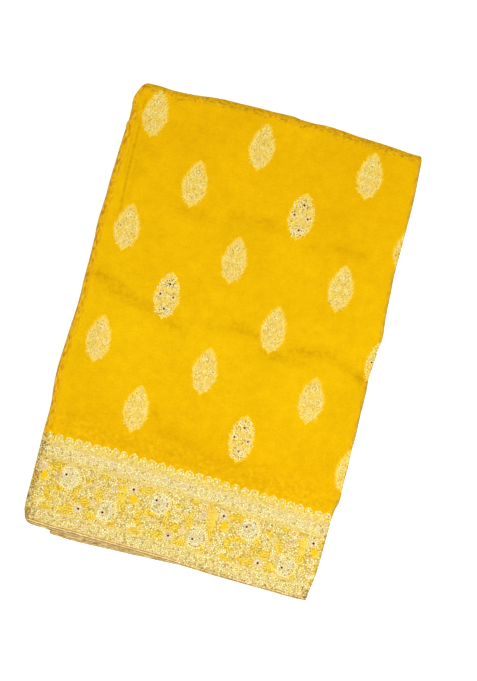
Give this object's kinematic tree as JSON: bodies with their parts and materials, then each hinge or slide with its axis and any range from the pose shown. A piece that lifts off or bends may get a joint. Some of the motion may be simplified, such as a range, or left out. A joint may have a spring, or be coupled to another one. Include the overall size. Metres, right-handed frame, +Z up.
{
  "type": "folded georgette sari",
  "caption": "Georgette sari folded flat: golden-yellow cloth with woven leaf motifs and a broad floral border along its selvedges.",
  "frame": {"origin": "middle of the folded sari's footprint, on the surface it lies on", "axes": "+X along the sari's length, across the folded stack's short side; +Y across the sari's width, from the selvedges to the cross fold; +Z up, out of the face that shows"},
  "size_m": [0.3806, 0.5768, 0.0185],
  "materials": {
    "georgette": "soft matt crepe weave, sheer, golden yellow",
    "zari": "pale gold and cream metallic thread woven in, softly glittering"
  },
  "bodies": {
    "root": {"sari_cloth": "georgette"}
  },
  "joints": []
}
